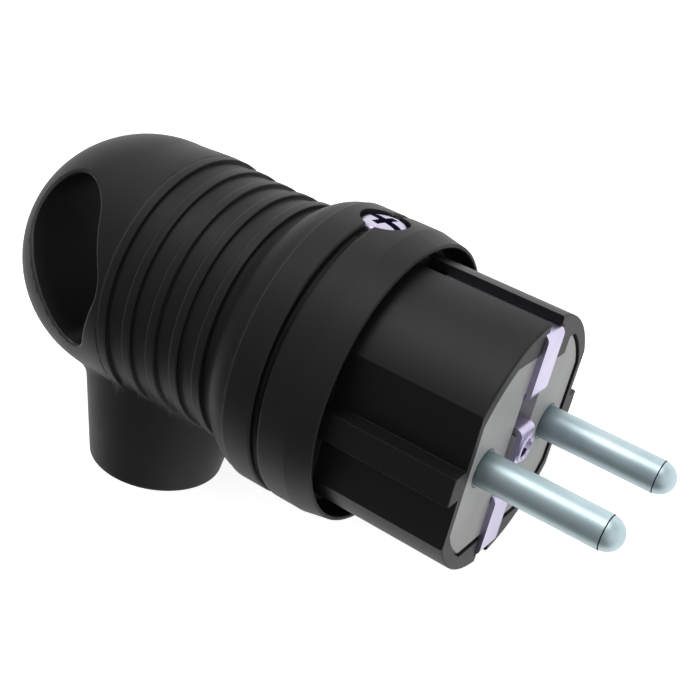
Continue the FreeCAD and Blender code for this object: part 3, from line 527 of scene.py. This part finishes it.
# The painted shade lies on the floor and on the walls of the cross.
FLOOR_MARGIN = 0.05
RECESS_R = 0.95 * HEAD_R
WALL_FACING = 0.6
FLOOR_FACING = 0.98
for face in screw.polygons:
    centre, facing_up = face.center, face.normal.z
    in_recess = (math.hypot(centre.x - SCREW_X, centre.y) < RECESS_R
                 and centre.z > floor_z - FLOOR_MARGIN)
    on_floor = facing_up > FLOOR_FACING and centre.z < floor_z + FLOOR_MARGIN
    face.material_index = 1 if in_recess and (facing_up < WALL_FACING or on_floor) else 0
finished("cross_recess_screw", screw, [zinc, recess_shade], ["cover_screw"],
         sharp_degrees=30)


# Small screws inside.
# Slotted screws of the same zinc-plated steel: one sets each wire in its terminal, two clamp
# the carrier and the bulkhead to the insert, and two press the bar on the cord.
dressed(zinc, "pin_screw_left", "pin_screw_right", "earth_screw", "carrier_screw_upper",
        "carrier_screw_lower", "cord_clamp_screw_left", "cord_clamp_screw_right")


# Earth terminal and the square nut of the cover screw.
# Both are sawn from drawn brass bar and left bare: yellow metal with straight drawing
# lines, drawn 0.2 mm apart so that they show.
brass = plated("drawn_brass", "#b08d4a", "#c9a862", rough=0.32, mark_mm=0.2,
               mark_scale=(0.1, 1.0, 1.0), mark_depth_mm=0.003)
dressed(brass, "earth_terminal", "cover_nut")


# Camera.
# It stands at the photograph's viewing angle, close to the plug and high above it. Its place
# and its three directions are in the plug's own frame.
SENSOR_MM = 36.0
PHOTO_WIDTH_PX = 700
FOCAL_PX = 1197.72
CAMERA_AT = (41.27, -133.97, 73.36)
CAMERA_RIGHT = (0.8153, 0.5352, 0.2209)
CAMERA_UP = (-0.4084, 0.2612, 0.8746)
CAMERA_BACK = (0.4104, -0.8033, 0.4316)
photo = bpy.data.cameras.new("photo_camera")
photo.sensor_width = SENSOR_MM
photo.lens = SENSOR_MM * FOCAL_PX / PHOTO_WIDTH_PX
photo.clip_start = 0.01
photo.clip_end = 20.0
camera = bpy.data.objects.new("photo_camera", photo)
turn = Matrix.Rotation(ROLL - math.pi / 2, 3, "X")
axes = Matrix([turn @ Vector(axis) for axis in (CAMERA_RIGHT, CAMERA_UP, CAMERA_BACK)])
camera.matrix_world = Matrix.Translation(LAID @ Vector(CAMERA_AT)) @ axes.transposed().to_4x4()
bpy.context.scene.collection.objects.link(camera)
bpy.context.scene.camera = camera


# Floor.
# A sheet of pale matt paper that the plug lies on. The camera, gloss and clear things see it
# white, and it keeps the plug's shadow.
FLOOR_HALF = 1.5
GLOW = 0.7
bm = bmesh.new()
bmesh.ops.create_grid(bm, x_segments=1, y_segments=1, size=FLOOR_HALF)
floor = bpy.data.objects.new("floor", mesh_of(bm, "floor"))
bpy.context.scene.collection.objects.link(floor)
paper = mottled("white_paper", "#f1f1f1", "#f6f6f6", patch_mm=2, detail=4.0)
paper.shader.inputs["Roughness"].default_value = 0.9
paper.shader.inputs["Emission Color"].default_value = (1, 1, 1, 1)
path = add(paper.tree, "ShaderNodeLightPath")
seen = add(paper.tree, "ShaderNodeMath", {0: path.outputs["Is Camera Ray"],
                                          1: path.outputs["Is Glossy Ray"]}, operation="MAXIMUM")
seen = add(paper.tree, "ShaderNodeMath", {0: seen, 1: path.outputs["Is Transmission Ray"]},
           operation="MAXIMUM")
glow = add(paper.tree, "ShaderNodeMath", {0: seen, 1: GLOW}, operation="MULTIPLY")
paper.tree.links.new(glow.outputs[0], paper.shader.inputs["Emission Strength"])
floor.data.materials.append(paper.material)


# Studio light.
# The light is dim on the near side, grey overhead and pale beyond the plug. A soft lamp
# stands beyond the plug, and a wide weak one in front of the pins.
WALL_STOPS = ((0.1, 0.2), (0.5, 0.42), (0.9, 0.75))
LAMP_AIM = Vector((0, 0, 0.02))
world = bpy.data.worlds.new("studio")
bpy.context.scene.world = world
world.use_nodes = True
direction = add(world.node_tree, "ShaderNodeTexCoord").outputs["Generated"]
heading = add(world.node_tree, "ShaderNodeSeparateXYZ", {"Vector": direction})
share = add(world.node_tree, "ShaderNodeMapRange", {"Value": heading.outputs["Y"],
                                                    "From Min": -1.0, "From Max": 1.0})
walls = add(world.node_tree, "ShaderNodeValToRGB", {"Fac": share})
walls.color_ramp.elements.new(0.5)
for stop, (position, level) in zip(walls.color_ramp.elements, WALL_STOPS):
    stop.position = position
    stop.color = (level, level, level, 1)
background = world.node_tree.nodes["Background"]
background.inputs["Strength"].default_value = 1.0
world.node_tree.links.new(walls.outputs["Color"], background.inputs["Color"])
for name, spot, size, watts in (("key", (-0.12, 0.5, 0.42), 0.35, 2.0),
                                ("fill", (0.5, 0.0, 0.3), 0.9, 1.4)):
    light = bpy.data.lights.new(name, "AREA")
    light.shape = "DISK"
    light.size = size
    light.energy = watts
    lamp = bpy.data.objects.new(name, light)
    lamp.location = spot
    lamp.rotation_euler = (LAMP_AIM - Vector(spot)).to_track_quat("-Z", "Y").to_euler()
    bpy.context.scene.collection.objects.link(lamp)

bpy.context.scene.view_settings.view_transform = "Standard"
